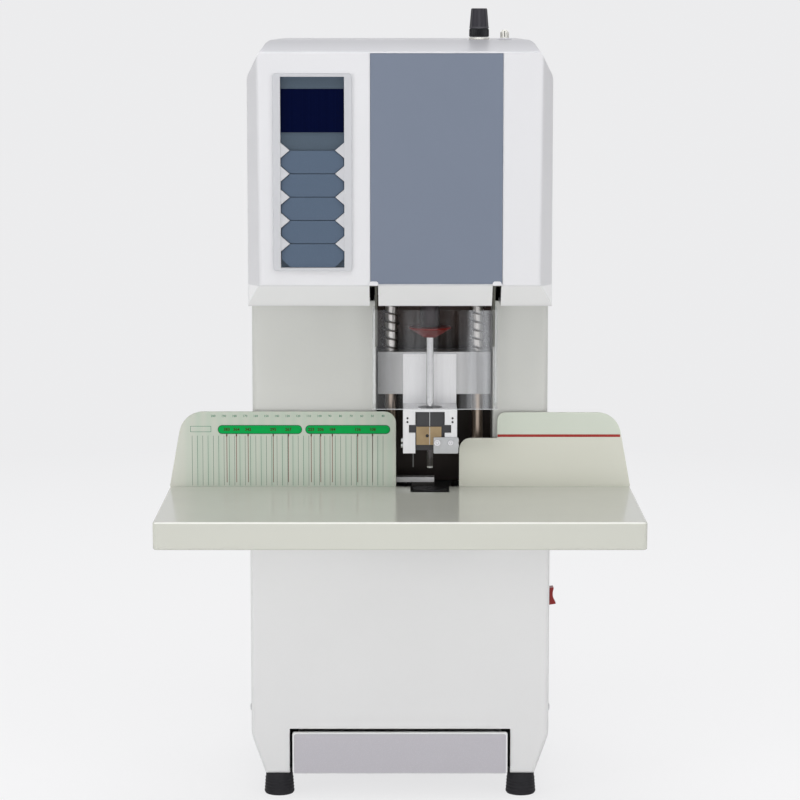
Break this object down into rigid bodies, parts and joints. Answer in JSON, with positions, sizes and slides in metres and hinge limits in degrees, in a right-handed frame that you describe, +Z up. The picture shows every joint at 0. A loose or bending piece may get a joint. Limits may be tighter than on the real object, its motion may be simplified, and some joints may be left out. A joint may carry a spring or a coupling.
{
  "type": "document riveting machine",
  "caption": "Bench machine that drills a stack of sheets and closes it with a hot-pressed tube: drill head with control panel over a throat, paper table with fences, cabinet with chip drawer.",
  "frame": {"origin": "middle of the machine's outline, on the bench under its rubber feet", "axes": "+Z up, the operator's side faces -Y, +X to the operator's right"},
  "size_m": [0.435, 0.426, 0.7505],
  "materials": {
    "frame_steel": "satin dark grey paint",
    "ground_steel": "ground and polished",
    "plated_steel": "zinc plated, satin",
    "spring_steel": "oiled spring wire",
    "cover_paint": "fine satin powder coat, light grey",
    "table_paint": "fine satin powder coat, warm grey",
    "throat_paint": "matt black paint",
    "head_shell": "satin moulded shell, cool white",
    "panel_slate": "satin slate blue paint",
    "bezel_plastic": "satin moulded, pale grey",
    "key_plastic": "satin moulded, slate blue",
    "facia_plastic": "satin film over plastic",
    "screen": "gloss, dark navy window",
    "board": "solder resist over laminate",
    "motor_paint": "satin black",
    "fitting_plastic": "fine-grained black moulding",
    "knob_plastic": "semi-gloss black moulding",
    "inlet_metal": "bright nickel plate",
    "guard_clear": "clear acrylic, polished",
    "collar_red": "gloss red",
    "heater_black": "black anodised",
    "brass": "turned, lightly tarnished",
    "pad_plastic": "dark polymer, matt",
    "aluminium_cast": "machined casting",
    "rubber": "matt black",
    "rocker_red": "gloss red, translucent look",
    "chute_plastic": "grey plastic pipe",
    "bearing_steel": "bright ground steel"
  },
  "bodies": {
    "machine": {"base_plate": "frame_steel", "feet": "rubber", "frame_cheeks": "frame_steel", "lower_platen": "frame_steel", "top_plate": "frame_steel", "guide_columns": "ground_steel", "cabinet_front_cover": "cover_paint", "cabinet_left_side": "cover_paint", "cabinet_right_side": "cover_paint", "rear_panel": "cover_paint", "column_left_cover": "cover_paint", "column_right_cover": "cover_paint", "throat_back_plate": "throat_paint", "head_front_cover": "head_shell", "head_rear_cover": "head_shell", "throat_lintel": "head_shell", "front_panel": "panel_slate", "display_bezel": "bezel_plastic", "keypad_facia": "facia_plastic", "display_window": "screen", "control_board": "board", "table": "table_paint", "left_fence": "table_paint", "right_fence": "table_paint", "panel_screws": "plated_steel", "anvil_arm": "frame_steel", "die_clamp_bar": "plated_steel", "lift_motor": "motor_paint", "chip_chute": "chute_plastic", "drawer_rails": "plated_steel", "transformer": "motor_paint", "power_inlet": "fitting_plastic", "rocker_bezel": "fitting_plastic", "top_fittings": "inlet_metal"},
    "crosshead": {"crosshead": "aluminium_cast", "spindle_bearings": "bearing_steel", "lead_nut": "brass", "drill_motor": "motor_paint", "chip_spout": "chute_plastic", "press_springs": "spring_steel"},
    "spindle": {"drill_spindle": "ground_steel", "hollow_drill": "ground_steel", "drill_collar": "collar_red"},
    "press_foot": {"press_bracket": "plated_steel", "heater_block": "heater_black", "brass_plate": "brass", "clamp_plate": "plated_steel", "foot_screws": "plated_steel"},
    "lead_screw": {"lead_screw": "ground_steel"},
    "guard": {"guard_shield": "guard_clear", "guard_arms": "plated_steel"},
    "drawer": {"chip_drawer": "cover_paint"},
    "rocker": {"rocker_key": "rocker_red"},
    "knob": {"adjust_knob": "knob_plastic"},
    "cutting_pad": {"cutting_pad": "pad_plastic"},
    "key_1_cap": {"key_1": "key_plastic"},
    "key_2_cap": {"key_2": "key_plastic"},
    "key_3_cap": {"key_3": "key_plastic"},
    "key_4_cap": {"key_4": "key_plastic"},
    "key_5_cap": {"key_5": "key_plastic"}
  },
  "joints": [
    {"name": "crosshead_feed", "type": "slide", "parent": "machine", "child": "crosshead", "axis": [0, 0, -1], "range_m": [-0.035, 0.02]},
    {"name": "lead_screw_turn", "type": "hinge", "parent": "machine", "child": "lead_screw", "pos_m": [0.0324, 0.05, 0.6], "axis": [0, 0, 1], "range_deg": [-2520, 1440]},
    {"name": "spindle_spin", "type": "hinge", "parent": "crosshead", "child": "spindle", "pos_m": [0.028, -0.037, 0.52], "axis": [0, 0, 1], "continuous": true},
    {"name": "press_foot_slide", "type": "slide", "parent": "crosshead", "child": "press_foot", "axis": [0, 0, 1], "range_m": [0, 0.03], "stiffness_N_per_m": 600, "springref_m": -0.02, "deforming": ["press_springs"]},
    {"name": "guard_swing", "type": "hinge", "parent": "machine", "child": "guard", "pos_m": [0.0324, -0.068, 0.499], "axis": [-1, 0, 0], "range_deg": [0, 90]},
    {"name": "drawer_slide", "type": "slide", "parent": "machine", "child": "drawer", "axis": [0, -1, 0], "range_m": [0, 0.11]},
    {"name": "rocker_tip", "type": "hinge", "parent": "machine", "child": "rocker", "pos_m": [0.1395, 0.04, 0.1846], "axis": [0, 1, 0], "range_deg": [0, 16]},
    {"name": "knob_turn", "type": "hinge", "parent": "machine", "child": "knob", "pos_m": [0.073, -0.026, 0.73], "axis": [0, 0, 1], "range_deg": [-360, 360]},
    {"name": "cutting_pad_turn", "type": "hinge", "parent": "machine", "child": "cutting_pad", "pos_m": [0.028, -0.031, 0.301], "axis": [0, 0, 1], "continuous": true},
    {"name": "key_1_press", "type": "slide", "parent": "machine", "child": "key_1_cap", "axis": [0, 1, 0], "range_m": [0, 0.0012], "stiffness_N_per_m": 400, "springref_m": -0.0005},
    {"name": "key_2_press", "type": "slide", "parent": "machine", "child": "key_2_cap", "axis": [0, 1, 0], "range_m": [0, 0.0012], "stiffness_N_per_m": 400, "springref_m": -0.0005},
    {"name": "key_3_press", "type": "slide", "parent": "machine", "child": "key_3_cap", "axis": [0, 1, 0], "range_m": [0, 0.0012], "stiffness_N_per_m": 400, "springref_m": -0.0005},
    {"name": "key_4_press", "type": "slide", "parent": "machine", "child": "key_4_cap", "axis": [0, 1, 0], "range_m": [0, 0.0012], "stiffness_N_per_m": 400, "springref_m": -0.0005},
    {"name": "key_5_press", "type": "slide", "parent": "machine", "child": "key_5_cap", "axis": [0, 1, 0], "range_m": [0, 0.0012], "stiffness_N_per_m": 400, "springref_m": -0.0005}
  ],
  "couplings": [
    {"joint": "lead_screw_turn", "follows": "crosshead_feed", "rad_per_m": 1256.6}
  ]
}
